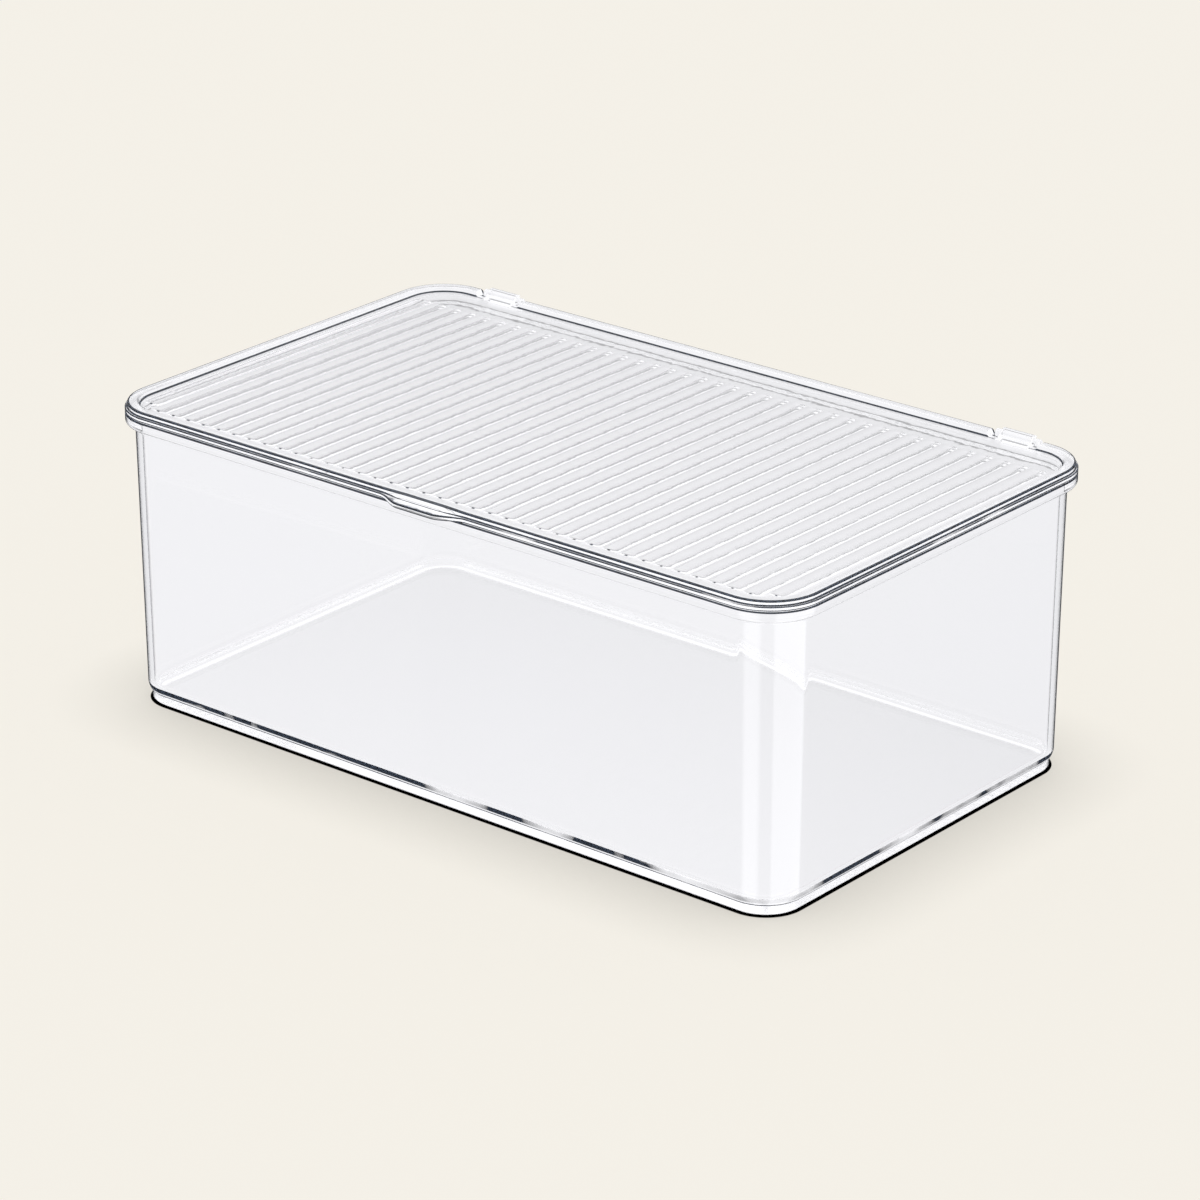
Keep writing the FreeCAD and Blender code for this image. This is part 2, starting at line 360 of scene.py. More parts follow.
def make_object(name: str, surfaces: Sequence[Surface]) -> bpy.types.Object:
    """Put shells into one mesh object at the origin, with coincident points merged.

    Args:
        name: the object's name.
        surfaces: closed shells in millimetres.

    Returns:
        The object, linked to the scene.
    """
    starts = np.cumsum([0] + [len(s.points) for s in surfaces])
    points = np.concatenate([s.points for s in surfaces]) * MM
    faces = [face for s, first in zip(surfaces, starts) for face in (s.quads + first).tolist()]
    faces += [(cap + first).tolist() for s, first in zip(surfaces, starts) for cap in s.caps]
    mesh = bpy.data.meshes.new(name)
    mesh.from_pydata(points.tolist(), [], faces)
    work = bmesh.new()
    work.from_mesh(mesh)
    bmesh.ops.remove_doubles(work, verts=work.verts, dist=MERGE_DISTANCE * MM)
    bmesh.ops.dissolve_degenerate(work, edges=work.edges, dist=MERGE_DISTANCE * MM)
    work.to_mesh(mesh)
    work.free()
    obj = bpy.data.objects.new(name, mesh)
    bpy.context.scene.collection.objects.link(obj)
    return obj


def combine(base: bpy.types.Object, surfaces: Sequence[Surface]) -> None:
    """Join shells to an object's mesh as exact solids.

    Args:
        base: the object whose mesh is replaced by the result.
        surfaces: closed shells that don't cross one another.
    """
    tool = make_object("tool", surfaces)
    step = base.modifiers.new("join", "BOOLEAN")
    step.operation = "UNION"
    step.solver = "EXACT"
    step.object = tool
    bpy.context.view_layer.update()
    joined = bpy.data.meshes.new_from_object(base.evaluated_get(bpy.context.evaluated_depsgraph_get()))
    base.modifiers.remove(step)
    old = base.data
    base.data = joined
    joined.name = base.name
    bpy.data.meshes.remove(old)
    spare = tool.data
    bpy.data.objects.remove(tool)
    bpy.data.meshes.remove(spare)


def mark_lines(obj: bpy.types.Object, surfaces: Sequence[Surface]) -> None:
    """Store how dark a painted shade line each point gets: that of a surface's point at the same place,
    else 0.

    Args:
        obj: the mesh object that was made from the surfaces and others.
        surfaces: the surfaces whose edges get painted shade lines.
    """
    points = np.concatenate([s.points for s in surfaces]) * MM
    lines = np.concatenate([s.lines for s in surfaces])
    tree = KDTree(len(points))
    for number, point in enumerate(points):
        tree.insert(point, number)
    tree.balance()
    found = [tree.find(vertex.co) for vertex in obj.data.vertices]
    number = np.array([hit[1] for hit in found])
    away = np.array([hit[2] for hit in found])
    values = np.where(away < MERGE_DISTANCE * MM, lines[number], 0.0)
    obj.data.attributes.new(PAINTED_SHADE_LINE, "FLOAT", "POINT").data.foreach_set("value", values)


@dataclass(frozen=True)
class ClearPlastic:
    """Clear acrylic, injection moulded and polished by the mould.

    It bends light like window glass, has hardly any colour of its own, and shows faint flow
    waves and a slightly uneven gloss. Painted shade turns its colour nearly black on the edges
    that the mesh marks, in lines broken by noise, and on the upright round corners where they
    are seen at a grazing angle.
    """

    name: str
    tint: str

    # Flow waves of the surface, and the gloss that follows them
    wave_mm: float
    wave_depth_mm: float
    wave_detail: float = 2.0
    wave_roughness: float = 0.4
    roughness: tuple[float, float] = (0.0, 0.05)
    ior: float = 1.49

    # Painted shade lines on marked edges: their colour, the size and detail of their breaks, and how soft
    # these are
    painted_shade_colour: str = "#03050A"
    edge_wave_mm: float = 45.0
    edge_detail: float = 3.0
    edge_softness: float = 0.15

    # Painted shade outlines: the grazing glances between which they set in, how upright the face has to
    # be, and how far it has to be turned round a corner
    grazing: tuple[float, float] = (0.64, 0.84)
    upright_from: float = 0.85
    corner_turn: tuple[float, float] = (0.01, 0.08)

    def build(self) -> bpy.types.Material:
        """Make the material.

        Returns:
            A material whose waves, gloss and broken painted shade lines follow object coordinates.
        """
        material = blank_material(self.name)
        tree = material.node_tree
        place = add_node(tree, "ShaderNodeTexCoord")
        waves = add_node(
            tree,
            "ShaderNodeTexNoise",
            values={
                "Scale": 1.0 / (self.wave_mm * MM),
                "Detail": self.wave_detail,
                "Roughness": self.wave_roughness,
            },
            links={"Vector": place.outputs["Object"]},
        )
        bump = add_node(
            tree,
            "ShaderNodeBump",
            values={"Strength": 1.0, "Distance": self.wave_depth_mm * MM},
            links={"Height": waves.outputs["Fac"]},
        )
        gloss = add_node(
            tree,
            "ShaderNodeMapRange",
            values={"To Min": self.roughness[0], "To Max": self.roughness[1]},
            links={"Value": waves.outputs["Fac"]},
        )
        # Painted shade lines: how dark each marked edge is, broken up by noise
        edge = add_node(tree, "ShaderNodeAttribute", settings={"attribute_name": PAINTED_SHADE_LINE})
        patches = add_node(
            tree,
            "ShaderNodeTexNoise",
            values={"Scale": 1.0 / (self.edge_wave_mm * MM), "Detail": self.edge_detail},
            links={"Vector": place.outputs["Object"]},
        )
        excess = add_node(
            tree,
            "ShaderNodeMath",
            settings={"operation": "SUBTRACT"},
            links={0: edge.outputs["Fac"], 1: patches.outputs["Fac"]},
        )
        broken = add_node(
            tree,
            "ShaderNodeMapRange",
            values={"From Max": self.edge_softness},
            links={"Value": excess.outputs[0]},
        )
        # Painted shade outline: the colour darkens with the glancing angle, so it follows the view
        glance = add_node(tree, "ShaderNodeLayerWeight")
        grazing = add_node(
            tree,
            "ShaderNodeMapRange",
            settings={"interpolation_type": "SMOOTHSTEP"},
            values={"From Min": self.grazing[0], "From Max": self.grazing[1]},
            links={"Value": glance.outputs["Facing"]},
        )
        # The level part of the normal has a squared length of 1 on an upright face and 0 on a flat one
        across = add_node(
            tree,
            "ShaderNodeVectorMath",
            settings={"operation": "MULTIPLY"},
            values={1: (1.0, 1.0, 0.0)},
            links={0: place.outputs["Normal"]},
        )
        upright = add_node(
            tree,
            "ShaderNodeVectorMath",
            settings={"operation": "DOT_PRODUCT"},
            links={0: across.outputs[0], 1: across.outputs[0]},
        )
        outline = add_node(
            tree,
            "ShaderNodeMapRange",
            values={"From Min": self.upright_from},
            links={"Value": upright.outputs["Value"], "To Max": grazing.outputs["Result"]},
        )
        # On the flat walls one of the normal's level parts is 0, so that only round corners get a painted
        # shade outline
        split = add_node(tree, "ShaderNodeSeparateXYZ", links={0: place.outputs["Normal"]})
        product = add_node(
            tree,
            "ShaderNodeMath",
            settings={"operation": "MULTIPLY"},
            links={0: split.outputs["X"], 1: split.outputs["Y"]},
        )
        turned = add_node(
            tree,
            "ShaderNodeMath",
            settings={"operation": "ABSOLUTE"},
            links={0: product.outputs[0]},
        )
        corner = add_node(
            tree,
            "ShaderNodeMapRange",
            values={"From Min": self.corner_turn[0], "From Max": self.corner_turn[1]},
            links={"Value": turned.outputs[0], "To Max": outline.outputs["Result"]},
        )
        dark = add_node(
            tree,
            "ShaderNodeMath",
            settings={"operation": "MAXIMUM"},
            links={0: broken.outputs["Result"], 1: corner.outputs["Result"]},
        )
        # Only the outer side of a face gets the painted shade, so that light inside the plastic still gets
        # out
        side = add_node(tree, "ShaderNodeNewGeometry")
        outside = add_node(
            tree,
            "ShaderNodeMath",
            settings={"operation": "SUBTRACT", "use_clamp": True},
            links={0: dark.outputs[0], 1: side.outputs["Backfacing"]},
        )
        # Painted shade: the base colour goes from the clear tint to near-black by the lines and outlines
        colour = add_node(
            tree,
            "ShaderNodeMix",
            settings={"data_type": "RGBA"},
            values={6: linear(self.tint), 7: linear(self.painted_shade_colour)},
            links={0: outside.outputs[0]},
        )
        shader = add_node(
            tree,
            "ShaderNodeBsdfPrincipled",
            values={"Transmission Weight": 1.0, "IOR": self.ior},
            links={
                "Base Color": colour.outputs[2],
                "Roughness": gloss.outputs["Result"],
                "Normal": bump.outputs["Normal"],
            },
        )
        add_node(tree, "ShaderNodeOutputMaterial", links={"Surface": shader.outputs["BSDF"]})
        return material


@dataclass
class Moulding:
    """One clear moulding of the box: what it rides on, replaces and is made of."""

    name: str
    body: str
    node: str
    slot: str
    finish: ClearPlastic

    # The plan outline that the tub's lip and the lid's flange share
    half_length: float = float(LID_BOX[1][0])
    half_width: float = float(-TUB_BOX[0][1])
    corner: float = 22.0

    # The hinge, which both mouldings meet
    hinge_inset: float = 37.0
    hook_length: float = 14.0
    hook_bore: float = 1.28
    hook_wall: float = 1.22
    bar_radius: float = 1.2
    side_clearance: float = 0.4

    # The edges along the gap between the two mouldings: their rounding and the painted shade line on them
    parting_round: float = 0.4
    parting_line: float = 1.0

    @property
    def half_x(self) -> float:
        """Half the distance between the corner centres along X."""
        return self.half_length - self.corner

    @property
    def half_y(self) -> float:
        """Half the distance between the corner centres along Y."""
        return self.half_width - self.corner

    @property
    def hinges(self) -> tuple[float, float]:
        """Where the two hinges stand along X."""
        place = self.half_length - self.hinge_inset
        return (-place, place)

    def dress(self, obj: bpy.types.Object) -> None:
        """Give the moulding its finish, tie it to its body and hide the imported node that it stands for.

        Args:
            obj: the finished mesh object.
        """
        obj.data.materials.clear()
        obj.data.materials.append(self.finish.build())
        obj.data.shade_smooth()
        obj.data.set_sharp_from_angle(angle=SHARP_ANGLE)
        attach(obj, self.body)
        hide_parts(self.node)
        LOG.info("%s: %d faces on body %s", obj.name, len(obj.data.polygons), self.body)


@dataclass
class Tub(Moulding):
    """The open tub: floor, drafted walls, coved lip, stacking foot and two hinge bars."""

    # Floor, wall and lip, with widths measured outwards from the line of the corner centres
    height: float = 120.0
    wall: float = 2.4
    floor: float = 3.2
    floor_fillet: float = 6.0
    floor_cap: float = 6.0
    wall_top: float = 18.2
    wall_foot: float = 17.0
    lip_bottom: float = 115.4
    lip_round: float = 1.6
    lip_cove: float = 2.0
    edge_round: float = 0.4

    # Stacking foot, the step above it, where the wall tucks in, and how dark the painted shade lines on
    # its edges are
    foot_edge: float = 15.5
    foot_height: float = 4.4
    foot_round: float = 1.4
    step_round: float = 0.33
    tuck: float = 0.9
    tuck_height: float = 2.0
    tuck_round: float = 5.0
    step_line: float = 1.0
    tuck_line: float = 0.64

    # Hinge bars on their webs, between cheeks
    cheek_length: float = 2.8
    cheek_radius: float = 1.5
    cheek_heel: float = 2.5
    cheek_bevel: float = 0.3
    web: float = 0.8
    web_sink: float = 1.5

    def section(self) -> list[Corner]:
        """Section of the wall, from the underside round the lip to the floor.

        Returns:
            Corners as (u, z), with u outwards from the line of the corner centres.
        """
        return [
            Corner(self.floor_cap, 0.0),
            Corner(self.foot_edge, 0.0, self.foot_round),
            Corner(self.foot_edge, self.foot_height, self.step_round, self.step_line),
            Corner(self.wall_foot - self.tuck, self.foot_height, self.step_round, self.step_line),
            Corner(self.wall_foot, self.foot_height + self.tuck_height, self.tuck_round, self.tuck_line),
            Corner(self.wall_top, self.lip_bottom, self.lip_cove),
            Corner(self.corner, self.lip_bottom, self.lip_round),
            Corner(self.corner, self.height, self.parting_round, self.parting_line),
            Corner(self.wall_top - self.wall, self.height, self.edge_round),
            Corner(self.wall_foot - self.wall, self.floor, self.floor_fillet),
            Corner(self.floor_cap, self.floor),
        ]

    def cheeks(self) -> list[Surface]:
        """Posts with a round head at both ends of each hinge bar.

        Returns:
            Four shells, each an outline carried along X.
        """
        y, z = HINGE[1], HINGE[2]
        heel = self.height - self.cheek_heel
        head = arc((y, z), self.cheek_radius, 0.0, 180.0, 2 * ARC_STEPS)
        foot = [
            (y - self.cheek_radius, heel),
            (self.half_width - self.lip_round / 2, heel),
            (y + self.cheek_radius, self.height),
        ]
        outline = np.concatenate([head, foot])
        reach = self.hook_length / 2 + self.side_clearance
        starts = [x + side for x in self.hinges for side in (-reach - self.cheek_length, reach)]
        return [prism(outline, x, x + self.cheek_length, self.cheek_bevel) for x in starts]

    def bars(self) -> list[Surface]:
        """Hinge bars on their thin webs: a keyhole outline carried from cheek to cheek.

        Returns:
            Two shells.
        """
        y, z = HINGE[1], HINGE[2]
        flank = math.degrees(math.asin(self.web / 2 / self.bar_radius))
        round_part = arc((y, z), self.bar_radius, flank - 90.0, 270.0 - flank, 4 * ARC_STEPS)
        seat = self.height - self.web_sink
        outline = np.concatenate([round_part, [(y - self.web / 2, seat), (y + self.web / 2, seat)]])
        reach = self.hook_length / 2 + self.side_clearance + self.cheek_length / 2
        return [prism(outline, x - reach, x + reach, self.cheek_bevel) for x in self.hinges]

    def build(self) -> None:
        """Make the tub and dress it."""
        section = self.section()
        loop = rounded_loop(self.half_x, self.half_y)
        shell = carry(loop, rounded_chain(section), chain_lines(section))
        obj = make_object(self.name, [shell])
        combine(obj, self.cheeks())
        combine(obj, self.bars())
        mark_lines(obj, [shell])
        self.dress(obj)


@dataclass
class Lid(Moulding):
    """The lid: flat plate, raised stacking rim, flutes, finger tab and two hinge hooks."""

    # Plate and raised rim, with widths measured outwards from the line of the corner centres
    bottom: float = float(LID_BOX[0][2])
    plate: float = 1.7
    rim_rise: float = 2.0
    rim_outer: float = 21.0
    rim_inner: float = 16.8
    recess_edge: float = 16.3
    recess_fillet: float = 0.5
    rim_round: float = 0.6
    ledge_fillet: float = 0.4
    edge_round: float = 0.35
    panel_edge: float = 15.6

    # How dark a painted shade line each edge of the rim gets
    flange_line: float = 0.75
    ledge_line: float = 1.0
    rim_line: float = 1.0
    recess_line: float = 0.4
    recess_foot_line: float = 1.0

    # Flutes, and the painted dark dot of shade at the front end of each, between two rows of its grid
    flute_pitch: float = 8.0
    flute_width: float = 7.8
    flute_rise: float = 0.4
    flute_sink: float = 0.3
    flute_front_margin: float = 9.5
    flute_back_margin: float = 21.6
    flute_side_gap: float = 1.0
    flute_end: float = 1.6
    flute_steps: int = 8
    flute_dot_line: float = 1.0
    flute_dot_from: int = 3
    flute_dot_to: int = 6

    # Finger tab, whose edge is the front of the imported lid
    tab_shoulder: float = 8.0
    tab_foot: float = 21.0
    tab_reach: float = float(TUB_BOX[0][1] - LID_BOX[0][1])
    tab_edge: float = 2.0
    tab_ramp_start: float = 20.6
    tab_ramp_round: float = 4.0
    tab_crown: float = -0.3
    tab_step: float = 0.75

    # Notches in the back of the rim, and the hooks in them, open between two angles in degrees
    notch_half: float = 10.6
    notch_slope: float = 1.5
    notch_depth: float = 2.9
    notch_draft: float = 0.1
    arm_reach: float = 3.0
    arm_rise: float = 0.5
    arm_sink: float = 0.5
    hook_from: float = 38.0
    hook_to: float = 247.0
    hook_bevel: float = 0.12

    @property
    def top(self) -> float:
        """Height of the plate's upper face."""
        return self.bottom + self.plate

    @property
    def rim_top(self) -> float:
        """Height of the rim's upper face."""
        return self.top + self.rim_rise

    def stepped_section(self) -> list[Corner]:
        """Section of the edge where the rim stands on the flange.

        Returns:
            Corners as (u, z), from the underside round the rim to the panel.
        """
        return [
            Corner(self.panel_edge, self.bottom),
            Corner(self.corner, self.bottom, self.parting_round, self.parting_line),
            Corner(self.corner, self.top, self.edge_round, self.flange_line),
            Corner(self.rim_outer, self.top, self.ledge_fillet, self.ledge_line),
            Corner(self.rim_outer, self.rim_top, self.rim_round, self.rim_line),
            Corner(self.rim_inner, self.rim_top, self.rim_round, self.recess_line),
            Corner(self.recess_edge, self.top, self.recess_fillet, self.recess_foot_line),
            Corner(self.panel_edge, self.top),
        ]

    def tab_section(self) -> list[Corner]:
        """Section in the middle of the finger tab, where a ramp runs from the rim to the tab's edge.

        Returns:
            Corners as (u, z), one for each corner of the stepped section.
        """
        tip = self.corner + self.tab_reach
        edge_top = self.bottom + self.tab_edge
        middle = (self.tab_ramp_start + tip) / 2
        return [
            Corner(self.panel_edge, self.bottom),
            Corner(tip, self.bottom, self.edge_round),
            Corner(tip, edge_top, self.rim_round),
            Corner(middle, (edge_top + self.rim_top) / 2 + self.tab_crown, self.rim_round),
            Corner(self.tab_ramp_start, self.rim_top, self.tab_ramp_round),
            Corner(self.rim_inner, self.rim_top, self.rim_round),
            Corner(self.recess_edge, self.top, self.recess_fillet),
            Corner(self.panel_edge, self.top),
        ]

    def edge(self) -> Surface:
        """Plate, rim, tab and notches as one section carried round the outline.

        The section swells from the stepped one to the tab's by a smooth step of |x| along the
        front. At a hinge the part above the plate is pressed down by a factor of |x - hinge|, and
        everything outside the notch's front is drawn back to it.

        Returns:
            The closed shell.
        """
        tab_count = round(2 * self.tab_foot / self.tab_step) + 1
        tab_stations = np.linspace(-self.tab_foot, self.tab_foot, tab_count)
        low = self.notch_half
        high = self.notch_half + self.notch_slope
        ramp = np.linspace(low, high, ARC_STEPS // 2 + 1)
        flat = [0.0, low - SIDE_SUPPORT, low - self.notch_draft]
        near = np.concatenate([flat, ramp, [high + SIDE_SUPPORT]])
        offsets = np.unique(np.concatenate([-near, near]))
        back = [x + offset for x in self.hinges for offset in offsets]
        loop = rounded_loop(self.half_x, self.half_y, front=tab_stations.tolist(), back=back)
        x = loop.centres[:, :1]
        y = loop.centres[:, 1:]
        on_front = (y < 0) & (loop.outward[:, 1:] < -ON_SIDE)
        swell = np.where(on_front, 1.0 - smooth_step(np.abs(x), self.tab_shoulder, self.tab_foot), 0.0)
        stepped = self.stepped_section()
        plain = rounded_chain(stepped)
        chain = plain + swell[..., None] * (rounded_chain(self.tab_section()) - plain)
        on_back = (y > 0) & (loop.outward[:, 1:] > ON_SIDE)
        gap = np.min([np.abs(x - hinge) for hinge in self.hinges], axis=0)
        press = np.where(on_back, 1.0 - smooth_step(gap, low, high), 0.0)
        draw = np.where(on_back, 1.0 - np.clip((gap - low) / self.notch_draft + 1.0, 0.0, 1.0), 0.0)
        limit = self.corner + self.tab_reach - draw * (self.tab_reach + self.notch_depth)
        u = np.minimum(chain[..., 0], limit)
        z = np.minimum(chain[..., 1], self.rim_top - press * self.rim_rise)
        return carry(loop, np.stack([u, z], axis=-1), chain_lines(stepped))

    def flutes(self) -> list[Surface]:
        """Convex flutes along Y that round off at their ends.

        Across, each is a circular segment of the flute's width and rise that goes on below the
        plate's face, so that it sinks in. Along the last stretch of both ends the segment's height
        over its sunk base shrinks as the sine of an angle from 90 degrees to 0, while the place
        advances as its cosine. Flutes in the corners are shorter.

        Returns:
            One shell for each flute.
        """
        half = self.flute_width / 2
        radius = (half ** 2 + self.flute_rise ** 2) / (2 * self.flute_rise)
        drop = self.flute_rise + self.flute_sink
        spread = math.acos(1.0 - drop / radius)
        across = np.linspace(-spread, spread, self.flute_steps + 1)
        height = drop - radius * (1.0 - np.cos(across))
        quarter = np.linspace(0.0, math.pi / 2, self.flute_steps + 1)
        fade = np.concatenate([np.sin(quarter), np.cos(quarter)])
        advance = self.flute_end * (1.0 - np.cos(quarter))
        room = 2 * (self.half_x + self.recess_edge - self.flute_side_gap)
        count = 1 + int((room - self.flute_width) / self.flute_pitch)
        # Painted shade: a dark dot on the crest near the front end of each flute
        dot = np.zeros((len(fade), len(across)))
        dot[self.flute_dot_from:self.flute_dot_to, self.flute_steps // 2] = self.flute_dot_line
        shells = []
        for x in (np.arange(count) - (count - 1) / 2) * self.flute_pitch:
            front = -self.half_width + self.flute_front_margin
            back = self.half_width - self.flute_back_margin
            into_corner = max(abs(x) + half - self.half_x, 0.0)
            if into_corner > 0:
                reach = math.sqrt((self.recess_edge - self.flute_side_gap) ** 2 - into_corner ** 2)
                front = max(front, -self.half_y - reach)
                back = min(back, self.half_y + reach)
            along = np.concatenate([front + advance, back - advance[::-1]])
            places = x + radius * np.sin(across)
            shells.append(dome(places, along, self.top - self.flute_sink, height, fade, dot))
        return shells

    def hooks(self) -> list[Surface]:
        """Open clips that wrap the hinge bars, each with an arm that runs into the plate.

        Returns:
            Two shells: a clip and arm outline carried along X.
        """
        y, z = HINGE[1], HINGE[2]
        outer = self.hook_bore + self.hook_wall
        arm_top = 180.0 - math.degrees(math.asin(self.arm_rise / outer))
        floor = self.bottom + self.arm_sink
        arm_bottom = 180.0 + math.degrees(math.asin((z - floor) / outer))
        root = y - outer - self.arm_reach
        outline = np.concatenate(
            [
                arc((y, z), outer, self.hook_from, arm_top, 3 * ARC_STEPS),
                [(root, self.top), (root, floor)],
                arc((y, z), outer, arm_bottom, self.hook_to, ARC_STEPS // 3),
                arc((y, z), self.hook_bore, self.hook_to, self.hook_from, 3 * ARC_STEPS),
            ]
        )
        half = self.hook_length / 2
        return [prism(outline, x - half, x + half, self.hook_bevel) for x in self.hinges]

    def build(self) -> None:
        """Make the lid and dress it."""
        edge = self.edge()
        flutes = self.flutes()
        obj = make_object(self.name, [edge])
        combine(obj, flutes + self.hooks())
        mark_lines(obj, [edge, *flutes])
        self.dress(obj)


@dataclass
class Studio:
    """Pale floor, soft light all round and a camera at the photograph's viewing angle."""

    tub: Tub

    # Paper as the camera sees it, and the white paper that is seen through the plastic
    paper: str = "#F5F1E8"
    seen_through: str = "#FAFAFD"

    # Floor, and how much of the box's shadow it keeps, how far and how deep
    floor_half: float = 20000.0
    floor_drop: float = 0.4
    shadow_share: float = 0.08
    shadow_reach: float = 42.0
    shadow_depth: float = 0.45

    # Contact shadow on both sides of the foot's edge, and the levels of the shaded paper inside it
    ring_inside: float = 2.0
    ring_outside: float = 0.9
    shade_front: float = 0.98
    shade_back: float = 0.92

    # Light from above the horizon: the heights in degrees between which it brightens, and its levels
    dark_below: float = 12.0
    bright_above: float = 45.0
    dark_level: float = 0.35
    bright_level: float = 1.17

    # Light from below it, for rays through the plastic and for rays led along inside it
    horizon_blur: float = 0.05
    through_level: float = 0.975
    guided_depth: float = 6.5
    guided_level: float = 1.22

    # Panels that mirrored rays see: where their wave round the box starts, and their levels
    panel_repeats: int = 2
    front_panel_edge: float = -0.78
    side_panel_edge: float = 0.2
    panel_fade: float = 0.16
    panel_dark: float = 0.1
    panel_bright: float = 2.2

    # Camera: its angles in degrees, its place in millimetres and its focal length
    azimuth: float = 39.62
    elevation: float = 22.49
    distance: float = 1865.4
    aside: float = 2.4
    above: float = 49.6
    lens: float = 144.0

    # How often light is followed through the plastic
    bounces: int = 1000

    def foot_outline(self, offset: float) -> np.ndarray:
        """Outline round the tub's foot, halfway between the foot and the floor.

        Args:
            offset: how far the outline runs outside the foot's edge.

        Returns:
            Points (m, 3): each corner centre + (foot edge + offset) * outward.
        """
        loop = rounded_loop(self.tub.half_x, self.tub.half_y)
        plan = loop.centres + (self.tub.foot_edge + offset) * loop.outward
        level = np.full((len(plan), 1), -self.floor_drop / 2)
        return np.concatenate([plan, level], axis=-1)

    def build_floor(self) -> None:
        """Make the floor: cream paper that keeps a share of the object's shadow."""
        half, level = self.floor_half, -self.floor_drop
        corners = [(-half, -half, level), (half, -half, level), (half, half, level), (-half, half, level)]
        obj = make_object("floor", [Surface(np.array(corners), np.arange(len(corners))[None])])
        # Matte cream paper: an even pale ground with the soft shade of the box near by
        material = blank_material("cream_paper")
        tree = material.node_tree
        lit = add_node(tree, "ShaderNodeBsdfDiffuse", values={"Color": linear(self.paper)})
        near = add_node(tree, "ShaderNodeAmbientOcclusion", values={"Distance": self.shadow_reach * MM})
        shade = add_node(
            tree,
            "ShaderNodeMapRange",
            values={"To Min": 1.0 - self.shadow_depth},
            links={"Value": near.outputs["AO"]},
        )
        glow = add_node(
            tree,
            "ShaderNodeEmission",
            values={"Color": linear(self.paper)},
            links={"Strength": shade.outputs["Result"]},
        )
        seen = add_node(
            tree,
            "ShaderNodeMixShader",
            values={0: self.shadow_share},
            links={1: glow.outputs[0], 2: lit.outputs[0]},
        )
        add_node(tree, "ShaderNodeOutputMaterial", links={"Surface": seen.outputs[0]})
        obj.data.materials.append(material)
        obj.visible_glossy = False
        obj.visible_transmission = False

    def build_contact(self) -> None:
        """Make the contact shadow: a black line on the floor, under the overhang of the tub's foot."""
        edges = [self.foot_outline(-self.ring_inside), self.foot_outline(self.ring_outside)]
        points = np.stack(edges, axis=1).reshape(-1, 3)
        index = np.arange(len(points)).reshape(-1, 2)
        onward = np.roll(index, -1, axis=0)
        quads = np.stack([index[:, 0], index[:, 1], onward[:, 1], onward[:, 0]], axis=-1)
        obj = make_object("contact_shadow", [Surface(points, quads)])
        # Deep shade in the gap under the foot, from which no light comes back
        material = blank_material("contact_shadow")
        tree = material.node_tree
        dark = add_node(tree, "ShaderNodeEmission", values={"Strength": 0.0})
        add_node(tree, "ShaderNodeOutputMaterial", links={"Surface": dark.outputs[0]})
        obj.data.materials.append(material)
        obj.visible_glossy = False
        obj.visible_transmission = False

    def build_shade(self) -> None:
        """Make the paper under the box, which lies in its shade and is darker towards the back."""
        outline = self.foot_outline(-self.ring_inside)
        obj = make_object("shaded_paper", [Surface(outline, np.arange(len(outline))[None])])
        # White paper in the shade of the box, seen through the floor of the tub
        material = blank_material("shaded_paper")
        tree = material.node_tree
        place = add_node(tree, "ShaderNodeTexCoord")
        split = add_node(tree, "ShaderNodeSeparateXYZ", links={0: place.outputs["Object"]})
        reach = float(outline[:, 1].max()) * MM
        shade = add_node(
            tree,
            "ShaderNodeMapRange",
            values={
                "From Min": -reach,
                "From Max": reach,
                "To Min": self.shade_front,
                "To Max": self.shade_back,
            },
            links={"Value": split.outputs["Y"]},
        )
        glow = add_node(
            tree,
            "ShaderNodeEmission",
            values={"Color": linear(self.seen_through)},
            links={"Strength": shade.outputs["Result"]},
        )
        add_node(tree, "ShaderNodeOutputMaterial", links={"Surface": glow.outputs[0]})
        obj.data.materials.append(material)

    def build_light(self) -> None:
        """Light the scene from all round, by the height of a direction and by how a ray got there.

        Above the horizon the room is dark and brightens towards a soft light overhead. Below it,
        rays through the plastic see white paper, and mirrored rays see pale panels on the front and
        the right: the cosine of twice the angle round the box is low on the front panel and high on
        the side panel, and the left and back half is dark. Rays that were led along inside the
        plastic for many bounces see one level. The camera itself sees the paper's colour all round.
        """
        world = bpy.data.worlds.new("studio")
        bpy.context.scene.world = world
        world.use_nodes = True
        tree = world.node_tree
        tree.nodes.clear()
        place = add_node(tree, "ShaderNodeTexCoord")
        split = add_node(tree, "ShaderNodeSeparateXYZ", links={0: place.outputs["Generated"]})
        above = add_node(
            tree,
            "ShaderNodeMapRange",
            settings={"interpolation_type": "SMOOTHSTEP"},
            values={
                "From Min": math.sin(math.radians(self.dark_below)),
                "From Max": math.sin(math.radians(self.bright_above)),
                "To Min": self.dark_level,
                "To Max": self.bright_level,
            },
            links={"Value": split.outputs["Z"]},
        )
        spoke = add_node(
            tree,
            "ShaderNodeTexGradient",
            settings={"gradient_type": "RADIAL"},
            links={"Vector": place.outputs["Generated"]},
        )
        turn = add_node(
            tree,
            "ShaderNodeMath",
            settings={"operation": "MULTIPLY"},
            values={1: 2 * math.pi * self.panel_repeats},
            links={0: spoke.outputs["Fac"]},
        )
        wave = add_node(
            tree,
            "ShaderNodeMath",
            settings={"operation": "COSINE"},
            links={0: turn.outputs[0]},
        )
